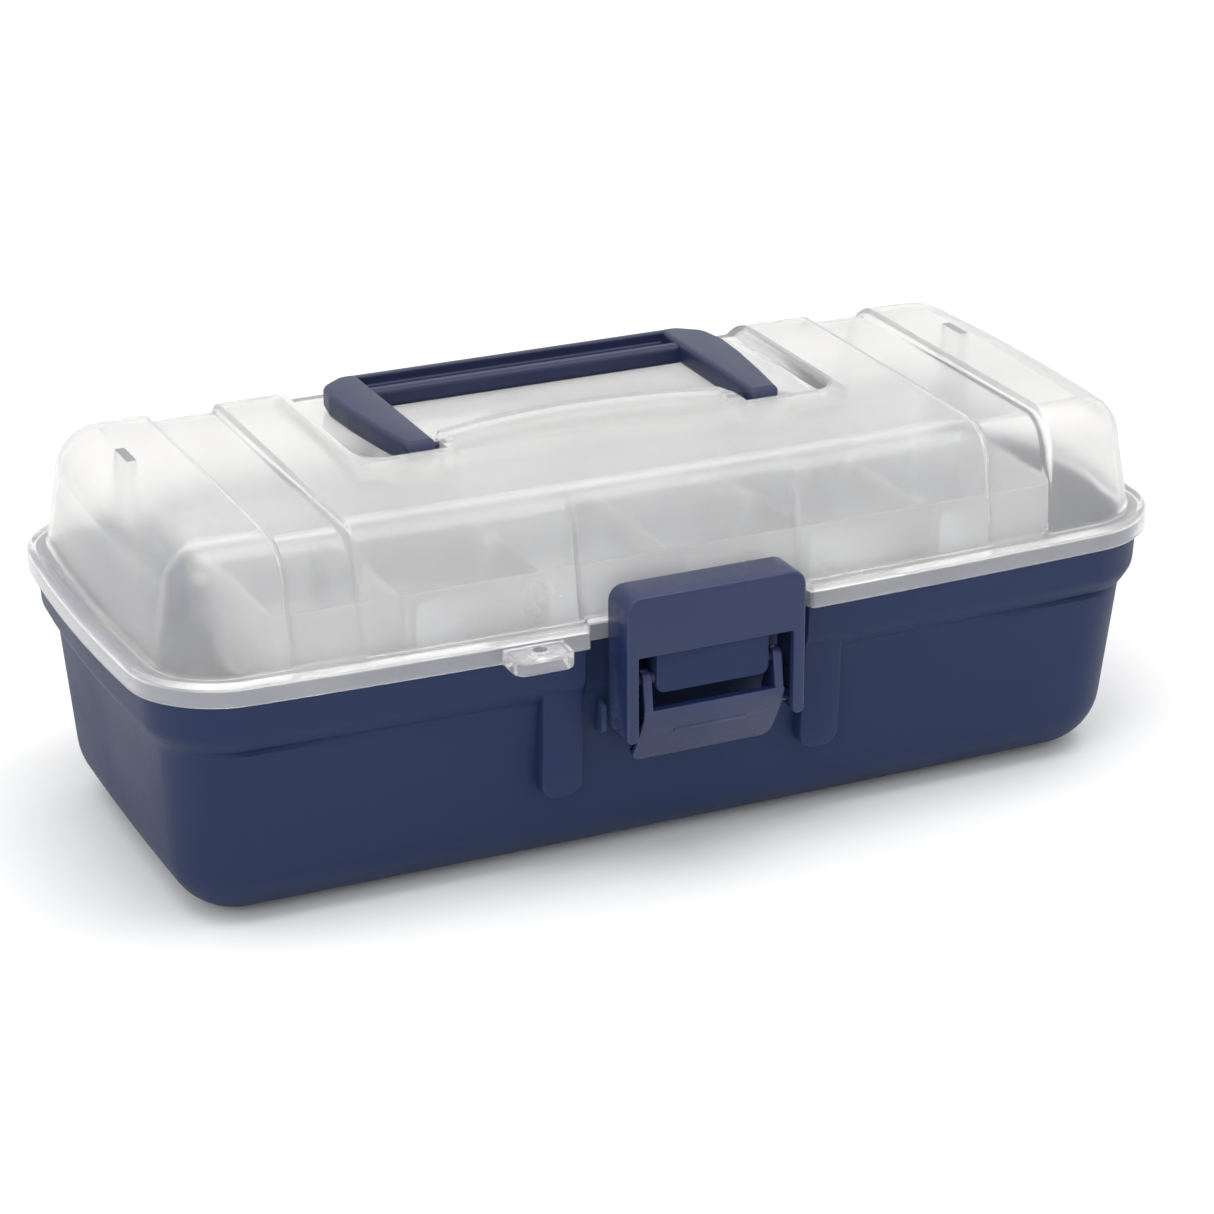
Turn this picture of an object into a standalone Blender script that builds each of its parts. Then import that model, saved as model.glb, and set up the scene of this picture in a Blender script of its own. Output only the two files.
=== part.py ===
"""Fishing tackle box: navy tub, frosted domed lid, folding handle, draw latch and a cantilever tray.

Every length below is in millimetres and is scaled to metres when a mesh is made.
Axes: X along the length, -Y to the front (latch side), +Z up, the floor at Z = 0.
"""

import math

import bmesh
import bpy

MM = 0.001

# Lid skirt outline, the widest outline of the box.
LENGTH, DEPTH, CORNER = 330.0, 154.6, 25.4
BOW_FRONT, BOW_END = 5.1, 4.3

# Heights.
FLOOR_T = 2.6
FILLET, LOW_BOW = 18.0, 0.45  # rounding of the tub's lower edge, and how much it bows
STEP_Z = 57.0
SKIRT_Z = 74.0
RIM_Z = 78.5
LEDGE_Z = 78.9
SHOULDER_Z, SHOULDER_R = 102.1, 14.1
ROOF_Z = SHOULDER_Z + SHOULDER_R
WALL = 2.0

# Stepped bands of the lid, and the front panel behind the latch, as distances from the middle.
BAND_IN, BAND_OUT, BAND_DEPTH = 102.0, 123.2, 2.2
FRONT_HALF, STEP_W = 35.5, 1.3
LID_FOOT, LID_DRAFT = 6.6, 3.8  # inset of the lid's wall at its foot, and how much further in its top is

# Hasp tab on the lid's front edge.
TAB_LEFT, TAB_RIGHT, TAB_FRONT, TAB_BACK, TAB_TOP = -62.4, -43.8, -87.0, -75.0, 78.6
HASP_X, HASP_Y, HASP_R, HASP_RING_R = -53.1, -81.6, 2.05, 3.7

# Handle recess, and the hump between the handle's feet. Hump and handle sit a little left of the middle.
RECESS_HALF, RECESS_Y, RECESS_Z = 77.8, -11.0, 110.7
HUMP_HALF, HUMP_TOP = 48.8, 117.5
HANDLE_X, HANDLE_Y, HANDLE_Z, HANDLE_PIN_R, FOOT_R = -3.0, -4.4, 114.0, 1.5, 5.7
HANDLE_LOW, HANDLE_HIGH = 111.2, 118.4
GRIP_FRONT, GRIP_BACK = 41.0, 56.2

# Rear hinge.
HINGE_Y, HINGE_Z, KNUCKLE_R, HINGE_PIN_R = 81.5, 73.0, 3.6, 1.5
HINGE_X, KNUCKLE_W = 80.0, 12.0

# Latch.
LEVER_Y, LEVER_Z = -80.5, 63.6
HOOD_Y, HOOD_Z = -79.0, 50.0
LATCH_PIN_R, TRUNNION_R = 1.5, 2.0
HOOD_HALF, HOOD_BACK, HOOD_FRONT, HOOD_LOW, HOOD_TOP = 28.3, -72.4, -86.2, 46.3, 91.0
HOOD_INSIDE, WINDOW_HALF, WINDOW_TOP = 26.1, 24.5, 72.4
LEVER_HALF, CHEEK_IN, BLOCK_HALF = 22.3, 19.3, 17.9

# Tray linkage, a parallelogram of lid hinge, lid lug, tray pivot and base boss.
ARM_BASE = (50.0, 50.0)
ARM_TRAY = (-7.5, 65.0)
LID_LUG = (24.0, 88.0)
ARM_X, BRACKET_X, PLATE_T, ARM_HALF = 136.6, 133.2, 3.0, 5.0
RIVET_R, RIVET_HEAD_R = 2.5, 4.2

# Tray.
TRAY_HALF, TRAY_FRONT, TRAY_BACK, TRAY_LOW, TRAY_HIGH = 125.9, -62.0, 20.0, 60.4, 93.5
TRAY_T = 1.8
FIXED_X, DIVIDER_X = (-42.0, 42.0), (-84.0, 0.0, 84.0)

RUN = 0.06  # radial running clearance


def clear_scene():
    for obj in list(bpy.data.objects):
        bpy.data.objects.remove(obj, do_unlink=True)


def material(name, colour, roughness, alpha=1.0):
    mat = bpy.data.materials.new(name)
    mat.use_nodes = True
    shader = mat.node_tree.nodes["Principled BSDF"]
    shader.inputs["Base Color"].default_value = (*colour, 1.0)
    shader.inputs["Roughness"].default_value = roughness
    shader.inputs["Alpha"].default_value = alpha
    return mat


def make(name, points, faces, mat=None):
    mesh = bpy.data.meshes.new(name)
    mesh.from_pydata([(x * MM, y * MM, z * MM) for x, y, z in points], [], faces)
    work = bmesh.new()
    work.from_mesh(mesh)
    bmesh.ops.recalc_face_normals(work, faces=work.faces)
    work.to_mesh(mesh)
    work.free()
    obj = bpy.data.objects.new(name, mesh)
    bpy.context.scene.collection.objects.link(obj)
    if mat:
        mesh.materials.append(mat)
    return obj


def loft(name, rings, mat=None):
    """A closed body through rings of equal size, with its first and last ring capped."""
    count = len(rings[0])
    points = [p for ring in rings for p in ring]
    faces = []
    for level in range(len(rings) - 1):
        for i in range(count):
            a, b = level * count + i, level * count + (i + 1) % count
            faces.append((a, b, b + count, a + count))
    faces.append(tuple(reversed(range(count))))
    faces.append(tuple(range((len(rings) - 1) * count, len(rings) * count)))
    return make(name, points, faces, mat)


PLACE = {
    "x": lambda p, t: (t, p[0], p[1]),
    "y": lambda p, t: (p[0], t, p[1]),
    "z": lambda p, t: (p[0], p[1], t),
}


def prism(name, outline, axis, low, high, mat=None):
    """An outline in the two other axes (X, Y, Z order) carried along an axis."""
    return loft(name, [[PLACE[axis](p, t) for p in outline] for t in (low, high)], mat)


def box(name, low, high, mat=None):
    (x0, y0, z0), (x1, y1, z1) = low, high
    return prism(name, [(x0, y0), (x1, y0), (x1, y1), (x0, y1)], "z", z0, z1, mat)


def circle(cy, cz, radius, count=20, start=0.0, sweep=360.0):
    steps = count if sweep == 360.0 else count + 1
    return [
        (cy + radius * math.cos(math.radians(start + sweep * k / count)),
         cz + radius * math.sin(math.radians(start + sweep * k / count)))
        for k in range(steps)
    ]


def rod(name, cy, cz, radius, low, high, mat=None, count=20):
    return prism(name, circle(cy, cz, radius, count), "x", low, high, mat)


def rounded(points, radii, steps=5):
    """A polygon with each corner replaced by an arc of its own radius."""
    out = []
    count = len(points)
    for i, (px, py) in enumerate(points):
        radius = radii[i] if isinstance(radii, (list, tuple)) else radii
        ax, ay = points[i - 1][0] - px, points[i - 1][1] - py
        bx, by = points[(i + 1) % count][0] - px, points[(i + 1) % count][1] - py
        la, lb = math.hypot(ax, ay), math.hypot(bx, by)
        if radius <= 0.0:
            out.append((px, py))
            continue
        ax, ay, bx, by = ax / la, ay / la, bx / lb, by / lb
        half = math.acos(max(-1.0, min(1.0, ax * bx + ay * by))) / 2.0
        cut_back = min(radius / math.tan(half), 0.49 * la, 0.49 * lb)
        radius = cut_back * math.tan(half)
        mx, my = ax + bx, ay + by
        reach = radius / math.sin(half) / math.hypot(mx, my)
        cx, cy = px + mx * reach, py + my * reach
        start = math.atan2(py + ay * cut_back - cy, px + ax * cut_back - cx)
        end = math.atan2(py + by * cut_back - cy, px + bx * cut_back - cx)
        turn = (end - start + math.pi) % (2 * math.pi) - math.pi
        for k in range(steps + 1):
            a = start + turn * k / steps
            out.append((cx + radius * math.cos(a), cy + radius * math.sin(a)))
    return out


def applied(obj):
    """Puts the result of the modifiers into the object's own mesh."""
    bpy.context.view_layer.update()
    graph = bpy.context.evaluated_depsgraph_get()
    mesh = bpy.data.meshes.new_from_object(obj.evaluated_get(graph))
    obj.modifiers.clear()
    obj.data = mesh
    return obj


def boolean(target, cutter, operation):
    modifier = target.modifiers.new("boolean", "BOOLEAN")
    modifier.operation = operation
    modifier.solver = "EXACT"
    modifier.object = cutter
    applied(target)
    bpy.data.objects.remove(cutter, do_unlink=True)
    return target


def join(target, *others):
    for other in others:
        boolean(target, other, "UNION")
    return target


def cut(target, *others):
    for other in others:
        boolean(target, other, "DIFFERENCE")
    return target


def tidy(obj):
    """Merges points closer than two microns and splits every face into triangles."""
    work = bmesh.new()
    work.from_mesh(obj.data)
    bmesh.ops.remove_doubles(work, verts=work.verts, dist=2e-6)
    bmesh.ops.dissolve_degenerate(work, dist=1e-6, edges=work.edges)
    bmesh.ops.triangulate(work, faces=work.faces)
    bmesh.ops.recalc_face_normals(work, faces=work.faces)
    work.to_mesh(obj.data)
    work.free()
    return obj


def bevel(obj, width, segments=2, angle=40.0):
    modifier = obj.modifiers.new("edge", "BEVEL")
    modifier.width = width * MM
    modifier.segments = segments
    modifier.limit_method = "ANGLE"
    modifier.angle_limit = math.radians(angle)
    return applied(obj)


def set_origin(obj, y, z, x=0.0):
    """Puts the origin of a moving piece on its joint's axis, with the mesh left where it is."""
    shift = (x * MM, y * MM, z * MM)
    for vertex in obj.data.vertices:
        vertex.co = [vertex.co[i] - shift[i] for i in range(3)]
    obj.location = shift


# Bowed rounded rectangles, the plan of every level of the tub and the lid.

ARC_STEPS, END_STEPS = 7, 4
PLAIN_HALF = 60.0  # columns this near the middle keep their place on every level
LID_COLUMNS = (0.0, 17.0, 34.3, 35.5, 36.7, 57.0, 79.0, 100.8, 102.0, 103.2, 113.0,
               122.0, 123.2, 124.4, 132.0, 139.6)
TUB_COLUMNS = (0.0, 20.0, 34.3, 36.7, 60.0, 85.0, 110.0, 139.6)


def smooth(value, low, high):
    t = max(0.0, min(1.0, (value - low) / (high - low)))
    return t * t * (3.0 - 2.0 * t)


def centre_weight(x):
    return 1.0 - smooth(abs(x), FRONT_HALF - STEP_W, FRONT_HALF + STEP_W)


def band_weight(x):
    return smooth(abs(x), BAND_IN - STEP_W, BAND_IN + STEP_W) * (
        1.0 - smooth(abs(x), BAND_OUT - STEP_W, BAND_OUT + STEP_W))


def bowed(x, y, z, bow=1.0):
    return (x * (1.0 - 2.0 * bow * BOW_END / LENGTH * (y / (DEPTH / 2)) ** 2),
            y * (1.0 - 2.0 * bow * BOW_FRONT / DEPTH * (x / (LENGTH / 2)) ** 2), z)


def ring(inset_x, inset_y, z, columns, centre=0.0, band=0.0, tilt=0.0, radius=None, bow=1.0):
    """One level, inset from the skirt outline.

    centre moves the middle of the front inward, band sinks the stepped bands along
    the surface's normal and tilt is that normal's angle above the horizontal. radius
    is the corner radius where it isn't the skirt's less the inset, and bow is the
    share of the skirt's bow.
    """
    radius_x = CORNER - inset_x if radius is None else radius
    radius_y = CORNER - inset_y if radius is None else radius
    half_x, half_y = LENGTH / 2 - inset_x - radius_x, DEPTH / 2 - inset_y - radius_y
    squeeze = (half_x - PLAIN_HALF) / (LENGTH / 2 - CORNER - PLAIN_HALF)
    columns = [x if abs(x) <= PLAIN_HALF
               else math.copysign(PLAIN_HALF + (abs(x) - PLAIN_HALF) * squeeze, x)
               for x in columns]
    lean, drop = math.cos(math.radians(tilt)), math.sin(math.radians(tilt))

    def side(sign, x):
        sunk = band * band_weight(x)
        pushed = centre * centre_weight(x) if sign < 0 else 0.0
        y = sign * (half_y + radius_y - sunk * lean - pushed * lean)
        return bowed(x, y, z - sunk * drop, bow)

    def corner(sx, sy, start):
        return [bowed(sx * half_x + radius_x * math.cos(math.radians(start + 90.0 * k / ARC_STEPS)),
                      sy * half_y + radius_y * math.sin(math.radians(start + 90.0 * k / ARC_STEPS)), z, bow)
                for k in range(1, ARC_STEPS + 1)]

    def end(sign):
        return [bowed(sign * (half_x + radius_x), sign * half_y * (2.0 * k / END_STEPS - 1.0), z, bow)
                for k in range(1, END_STEPS)]

    points = [side(-1, x) for x in columns]
    points += corner(1, -1, -90.0) + end(1) + [bowed(half_x + radius_x, half_y, z, bow)]
    points += corner(1, 1, 0.0)[:-1] + [side(1, x) for x in reversed(columns)]
    points += corner(-1, 1, 90.0) + end(-1) + [bowed(-half_x - radius_x, -half_y, z, bow)]
    points += corner(-1, -1, 180.0)[:-1]
    return points


def mirrored(half):
    return sorted({-x for x in half} | set(half))


def build_base(mat):
    columns = mirrored(TUB_COLUMNS)

    def level(z, inward=0.0, centre=0.0):
        """A ring of the drafted lower wall, moved inward by a distance."""
        share = z / STEP_Z
        return ring(13.2 - 4.2 * share + inward, 16.0 - 7.7 * share + inward, z, columns, centre=centre,
                    radius=max(18.6 + 2.4 * share - inward, 1.2), bow=LOW_BOW)

    def fillet(low, radius, inward, angles):
        """Rings of the rounded lower edge, from a radius and the angle above the floor's edge."""
        return [level(low + radius * (1.0 - math.sin(math.radians(a))),
                      inward + radius * (1.0 - math.cos(math.radians(a)))) for a in angles]

    angles = (90.0, 66.0, 44.0, 22.0, 0.0)
    rings = fillet(0.0, FILLET, 0.0, angles)
    rings.append(level(STEP_Z - 0.5))
    for inset, z, centre in ((6.3, STEP_Z + 1.6, 1.9), (4.3, STEP_Z + 3.6, 3.9), (3.6, STEP_Z + 6.5, 4.5),
                             (3.0, SKIRT_Z - 1.0, 4.8), (2.2, SKIRT_Z + 1.5, 5.4), (2.2, RIM_Z, 5.4),
                             (4.4, RIM_Z, 5.4), (5.3, SKIRT_Z - 3.0, 4.8), (6.3, STEP_Z + 4.6, 3.9)):
        rings.append(ring(inset, inset, z, columns, centre=centre))
    rings.append(level(STEP_Z + 0.6, 2.2, 0.4))
    rings += fillet(FLOOR_T, FILLET - 2.4, 2.3, angles[::-1])
    base = loft("base_shell", rings, mat)

    for side in (-1, 1):
        # Front ribs that end the plain middle panel.
        rib = rounded([(side * 35.2, 26.0), (side * 48.2, 26.0), (side * 48.2, 62.0), (side * 35.2, 62.0)],
                      [5.0, 5.0, 0.0, 0.0], 4)
        tall = prism("rib", rib, "y", -73.4, -64.0)
        for vertex in tall.data.vertices:
            if vertex.co.y < -0.070:
                vertex.co.y = (-70.2 - 0.045 * (vertex.co.z / MM - 26.0)) * MM
        join(base, tall)
        # Guard ears beside the hood's legs.
        ear = rounded([(-72.6, 45.5), (-66.0, 44.0), (-66.0, 55.5), (-72.6, 53.5)], 1.2, 3)
        join(base, prism("ear", ear, "x", side * 28.8, side * 30.2))
        # End bosses for the tray arms.
        join(base, rod("boss", *ARM_BASE, 6.0, side * 151.0, side * (ARM_X + PLATE_T + 0.3), count=24))
        cut(base, rod("hole", *ARM_BASE, RIVET_R + 0.03, side * 130.0, side * 148.0, count=24))

    # Latch block with rounded lower corners and its cross hole.
    block = [(-BLOCK_HALF, 59.5), (BLOCK_HALF, 59.5), (BLOCK_HALF, 73.6), (-BLOCK_HALF, 73.6)]
    block = rounded(block, [2.6, 2.6, 1.0, 1.0], 4)
    join(base, prism("block", block, "y", -83.4, -69.0))
    cut(base, rod("hole", LEVER_Y, LEVER_Z, LATCH_PIN_R + 0.03, -30.0, 30.0, count=24))

    # Rear hinge knuckles on webs from the skirt, one each side of a lid knuckle.
    web = [(72.4, 66.5), (78.0, 68.6), (83.5, 70.2), (HINGE_Y + 2.0, HINGE_Z),
           (77.9, HINGE_Z), (72.4, 73.4)]
    for side in (-1, 1):
        for offset in (-KNUCKLE_W - 0.3, KNUCKLE_W + 0.3):
            x = side * HINGE_X + offset
            join(base, prism("web", web, "x", x - KNUCKLE_W / 2, x + KNUCKLE_W / 2),
                 rod("knuckle", HINGE_Y, HINGE_Z, KNUCKLE_R, x - KNUCKLE_W / 2, x + KNUCKLE_W / 2, count=24))
        cut(base, rod("bore", HINGE_Y, HINGE_Z, HINGE_PIN_R + 0.03,
                      side * HINGE_X - 30.0, side * HINGE_X + 30.0, count=24))
    return tidy(base)


def roof_faces(points, faces, columns, start_ring, rows, depth, z, flip):
    """Fills the flat roof of the lid: strips across it, and one face over each end."""
    count = len(columns)
    total = 2 * count + 4 * ARC_STEPS + 2 * END_STEPS - 2
    back = [start_ring + count + 2 * ARC_STEPS + END_STEPS - 1 + (count - 1 - i) for i in range(count)]
    front = [start_ring + i for i in range(count)]
    grid = [front]
    for row in range(1, rows):
        share = row / rows
        line = []
        for i in range(count):
            a, b = points[front[i]], points[back[i]]
            x, y = a[0] + (b[0] - a[0]) * share, a[1] + (b[1] - a[1]) * share
            line.append(len(points))
            points.append((x, y, z - depth * band_weight(columns[i])))
        grid.append(line)
    grid.append(back)
    for row in range(rows):
        for i in range(count - 1):
            quad = (grid[row][i], grid[row][i + 1], grid[row + 1][i + 1], grid[row + 1][i])
            faces.append(quad[::-1] if flip else quad)
    right = [start_ring + count - 1 + k for k in range(back[-1] - start_ring - count + 2)]
    right += [grid[row][-1] for row in range(rows - 1, 0, -1)]
    left = [back[0] + k for k in range(start_ring + total - back[0])] + [front[0]]
    left += [grid[row][0] for row in range(1, rows)]
    faces.append(tuple(right[::-1]) if flip else tuple(right))
    faces.append(tuple(left[::-1]) if flip else tuple(left))


def lid_shell_mesh(mat):
    columns = mirrored(LID_COLUMNS)
    foot, draft = LID_FOOT, LID_DRAFT

    def shoulder(angles, radius, thick):
        found = []
        for angle in angles:
            a = math.radians(angle)
            inset = foot + draft + thick + radius * (1.0 - math.cos(a))
            found.append(ring(inset, inset, SHOULDER_Z + radius * math.sin(a), columns,
                              centre=1.6 * math.cos(a), band=BAND_DEPTH, tilt=angle))
        return found

    inner = shoulder((90.0, 60.0, 30.0, 0.0), SHOULDER_R - WALL, WALL)
    inner.append(ring(foot + WALL, foot + WALL, LEDGE_Z, columns, centre=1.6, band=1.2))
    inner.append(ring(1.8, 1.8, LEDGE_Z, columns, centre=5.4))
    inner.append(ring(1.8, 1.8, SKIRT_Z, columns, centre=5.4))
    # The skirt, its rounded top edge, and the foot of the wall.
    skirt = ((0.2, SKIRT_Z, 5.7, 0.0), (0.0, SKIRT_Z + 0.5, 5.7, 0.0), (0.0, 79.8, 5.7, 0.0), (0.5, 80.8, 5.6, 0.0),
             (1.6, 81.3, 5.5, 0.0), (foot - 0.9, 81.3, 2.0, 1.2), (foot, 82.2, 1.6, 1.2))
    outer = [ring(inset, inset, z, columns, centre=centre, band=band) for inset, z, centre, band in skirt]
    outer += shoulder((0.0, 18.0, 36.0, 54.0, 72.0, 90.0), SHOULDER_R, 0.0)
    rings = inner + outer
    count = len(rings[0])
    points = [p for level in rings for p in level]
    faces = []
    for level in range(len(rings) - 1):
        for i in range(count):
            a, b = level * count + i, level * count + (i + 1) % count
            faces.append((a, b, b + count, a + count))
    roof_faces(points, faces, columns, 0, 3, BAND_DEPTH, ROOF_Z - WALL, True)
    roof_faces(points, faces, columns, (len(rings) - 1) * count, 3, BAND_DEPTH, ROOF_Z, False)
    return make("lid_shell", points, faces, mat)


def beside_handle(points):
    """Carries an outline drawn about the handle's middle to its place on the lid."""
    return [(x + HANDLE_X, y) for x, y in points]


def hump_outline(grow):
    """The hump's sides and its rear edge, which bulges backward in the middle."""
    half = HUMP_HALF + grow
    shares = [math.cos(math.pi * k / 10) for k in range(11)]
    edge = [(half * share * 0.955, 8.8 - 7.0 * abs(share) ** 2 + grow) for share in shares]
    return [(half, -3.0 + grow)] + edge + [(-half, -3.0 + grow)]


def build_lid(mat):
    lid = lid_shell_mesh(mat)
    # Pocket under the recess, with deeper wells under the handle's feet.
    floor = RECESS_Z - WALL
    pocket = [(-13.2, floor), (62.0, floor), (62.0, 110.9), (59.0, 112.8), (54.0, 114.8), (-13.2, 114.8)]
    join(lid, prism("pocket", pocket, "x", -RECESS_HALF - WALL, RECESS_HALF + WALL))
    for side in (-1, 1):
        x0, x1 = sorted((HANDLE_X + side * 48.0, HANDLE_X + side * 66.6))
        join(lid, box("well", (x0, -13.0, HANDLE_Z - FOOT_R - 0.4 - WALL), (x1, 4.6, 112.0)))

    def recess(level, grow):
        half, inner, front = RECESS_HALF + grow, HUMP_HALF - grow, RECESS_Y - grow
        corner = rounded([(half, 95.0), (half, front), (0.0, front)], [0.0, 8.0, 0.0], 4)[:-1]
        hump = beside_handle([(inner, front)] + hump_outline(-grow) + [(-inner, front)])
        return [(x, y, level) for x, y in corner + hump + [(-x, y) for x, y in reversed(corner)]]

    cut(lid, loft("recess", [recess(RECESS_Z, -1.6), recess(ROOF_Z + 0.2, 0.0), recess(130.0, 0.0)]))
    # The hump rises a little behind the recess's front edge, and is hollow underneath.
    top = beside_handle([(HUMP_HALF, RECESS_Y + 0.4)] + hump_outline(0.0) + [(-HUMP_HALF, RECESS_Y + 0.4)])
    low = [(x, y, RECESS_Z - 0.8) for x, y in top]
    high = [(x, y, ROOF_Z - 0.1 + (HUMP_TOP - ROOF_Z) * (y - RECESS_Y) / 20.0) for x, y in top]
    join(lid, loft("hump", [low, high]))
    hollow = [(45.6, -13.0)] + [(x, y) for x, y in hump_outline(-2.6) if abs(x) < 45.6] + [(-45.6, -13.0)]
    cut(lid, prism("hollow", beside_handle(hollow), "z", 100.0, ROOF_Z - WALL))
    for side in (-1, 1):
        well = (HANDLE_X + side * 50.4, HANDLE_X + side * 64.0)
        hole = (HANDLE_X + side * 44.0, HANDLE_X + side * 52.0)
        cut(lid, rod("well", HANDLE_Y, HANDLE_Z, FOOT_R + 0.4, *well, count=28),
            rod("pin_hole", HANDLE_Y, HANDLE_Z, HANDLE_PIN_R + RUN, *hole, count=24))

    # Catch bead under the hood.
    bead = rounded([(-72.2, 83.6), (-66.0, 82.0), (-66.0, 88.2), (-72.2, 87.2)], [1.0, 0.0, 0.0, 1.0], 3)
    join(lid, prism("bead", bead, "x", -18.0, 18.0))

    # Hasp tab on the left of the latch, a small shell with a ringed hole.
    tab = [(TAB_LEFT, TAB_BACK), (TAB_LEFT, TAB_FRONT), (TAB_RIGHT, TAB_FRONT), (TAB_RIGHT, TAB_BACK)]
    inside = [(TAB_LEFT + 1.8, TAB_BACK - 2.6), (TAB_LEFT + 1.8, TAB_FRONT + 1.8),
              (TAB_RIGHT - 1.8, TAB_FRONT + 1.8), (TAB_RIGHT - 1.8, TAB_BACK - 2.6)]
    join(lid, prism("tab", rounded(tab, [0.0, 3.6, 3.6, 0.0], 4), "z", 73.8, TAB_TOP))
    cut(lid, prism("tab_inside", rounded(inside, [0.0, 2.0, 2.0, 0.0], 4), "z", 70.0, TAB_TOP - 1.8))
    join(lid, prism("ring", circle(HASP_X, HASP_Y, HASP_RING_R), "z", TAB_TOP - 0.6, TAB_TOP + 0.4))
    cut(lid, prism("hasp_hole", circle(HASP_X, HASP_Y, HASP_R), "z", 70.0, 82.0))

    for side in (-1, 1):
        # Hanging lug for the tray bracket.
        y, z = LID_LUG
        lug = [(y + 6.0, 115.2), (y - 6.0, 115.2), (y - 6.0, z)] + circle(y, z, 6.0, 10, 180.0, 180.0)[1:]
        x0, x1 = side * (ARM_X + 0.2), side * (ARM_X + 3.2)
        join(lid, prism("lug", lug, "x", x0, x1))
        cut(lid, rod("lug_hole", y, z, RIVET_R + 0.03, side * 130.0, side * 145.0, count=24))
        # Hinge knuckle on a web from the skirt.
        x = side * HINGE_X
        web = [(73.9, 79.9), (75.4, 75.0), (78.8, HINGE_Z), (HINGE_Y + 2.4, HINGE_Z + 1.0),
               (79.5, 79.0), (76.0, 80.6)]
        join(lid, prism("web", web, "x", x - KNUCKLE_W / 2, x + KNUCKLE_W / 2),
             rod("knuckle", HINGE_Y, HINGE_Z, KNUCKLE_R, x - KNUCKLE_W / 2, x + KNUCKLE_W / 2, count=24))
        cut(lid, rod("bore", HINGE_Y, HINGE_Z, HINGE_PIN_R + RUN, x - 10.0, x + 10.0, count=24))
    tidy(lid)
    set_origin(lid, HINGE_Y, HINGE_Z)
    return lid


def build_handle(mat):
    # Grip with an open channel between a tall rear wall and a lower front bar.
    low, top, floor = HANDLE_LOW + 0.1, HANDLE_HIGH - 0.2, HANDLE_HIGH - 3.6
    wall, bar = GRIP_BACK - 2.8, GRIP_FRONT + 4.2
    profile = [(GRIP_FRONT, low), (GRIP_BACK, low), (GRIP_BACK, top), (wall, top),
               (wall, floor), (bar, floor), (bar, top - 0.8), (GRIP_FRONT, top - 0.8)]
    radii = [1.4, 1.0, 1.0, 0.6, 0.8, 0.8, 1.0, 1.8]
    handle = prism("handle", rounded(profile, radii, 3), "x", HANDLE_X - 53.0, HANDLE_X + 53.0, mat)
    arm = [(51.4, -10.3), (60.6, -10.3), (63.4, 8.0), (65.6, 26.0), (66.4, 40.0), (64.2, 51.0),
           (57.2, 56.4), (51.4, 56.4)]
    for side in (-1, 1):
        outline = beside_handle([(side * x, y) for x, y in arm])
        join(handle, bevel(prism("arm", outline, "z", HANDLE_LOW, HANDLE_HIGH), 1.4))
    # The feet's front ends are round about the pivot, so they swing in their wells.
    waste = circle(HANDLE_Y, HANDLE_Z, FOOT_R, 10, 125.0, 90.0) + [(-16.0, 106.0), (-16.0, 122.0)]
    cut(handle, prism("waste", waste, "x", -75.0, 75.0))
    for side in (-1, 1):
        ends = (HANDLE_X + side * 46.6, HANDLE_X + side * 53.0)
        join(handle, rod("stub", HANDLE_Y, HANDLE_Z, HANDLE_PIN_R, *ends, count=24))
    tidy(handle)
    set_origin(handle, HANDLE_Y, HANDLE_Z)
    return handle


def build_lever(mat):
    cheek = circle(LEVER_Y, LEVER_Z, 3.0, 8, 0.0, 180.0)[::-1]
    cheek += [(-77.7, 59.0), (-75.4, 53.0), (-75.0, 48.0), (-73.2, 39.0), (-75.0, 37.8),
              (-79.0, 43.0), (-84.0, 52.6), (-84.7, 55.0), (-84.0, 60.0)]
    lever = prism("latch_lever", cheek, "x", -LEVER_HALF, -CHEEK_IN, mat)
    join(lever, prism("cheek", cheek, "x", CHEEK_IN, LEVER_HALF))

    def face(z):
        """How far forward the plate's face is: upright above, curving back below."""
        return -84.7 + (9.9 * ((54.0 - z) / 18.2) ** 1.25 if z < 54.0 else 0.0)

    levels = [(55.0, 0.0), (52.0, 0.0), (47.5, 0.0), (41.5, 0.0), (38.6, 0.2), (36.6, 1.1), (35.8, 2.9)]
    rings = []
    for z, narrower in levels:
        half = LEVER_HALF - narrower
        rings.append([(-half, face(z), z), (half, face(z), z), (half, face(z) + 2.3, z + 0.2),
                      (-half, face(z) + 2.3, z + 0.2)])
    join(lever, loft("plate", rings))
    # Low grip line across the plate.
    line = rounded([(-82.0, 46.1), (-78.6, 46.1), (-78.6, 47.0), (-81.7, 47.0)], 0.2, 1)
    join(lever, prism("line", line, "x", -11.5, 11.5))
    cut(lever, rod("bore", LEVER_Y, LEVER_Z, LATCH_PIN_R + RUN, -40.0, 40.0, count=24))
    for side in (-1, 1):
        join(lever, rod("trunnion", HOOD_Y, HOOD_Z, TRUNNION_R, side * 20.0, side * 27.5, count=24))
    tidy(lever)
    set_origin(lever, LEVER_Y, LEVER_Z)
    return lever


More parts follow.
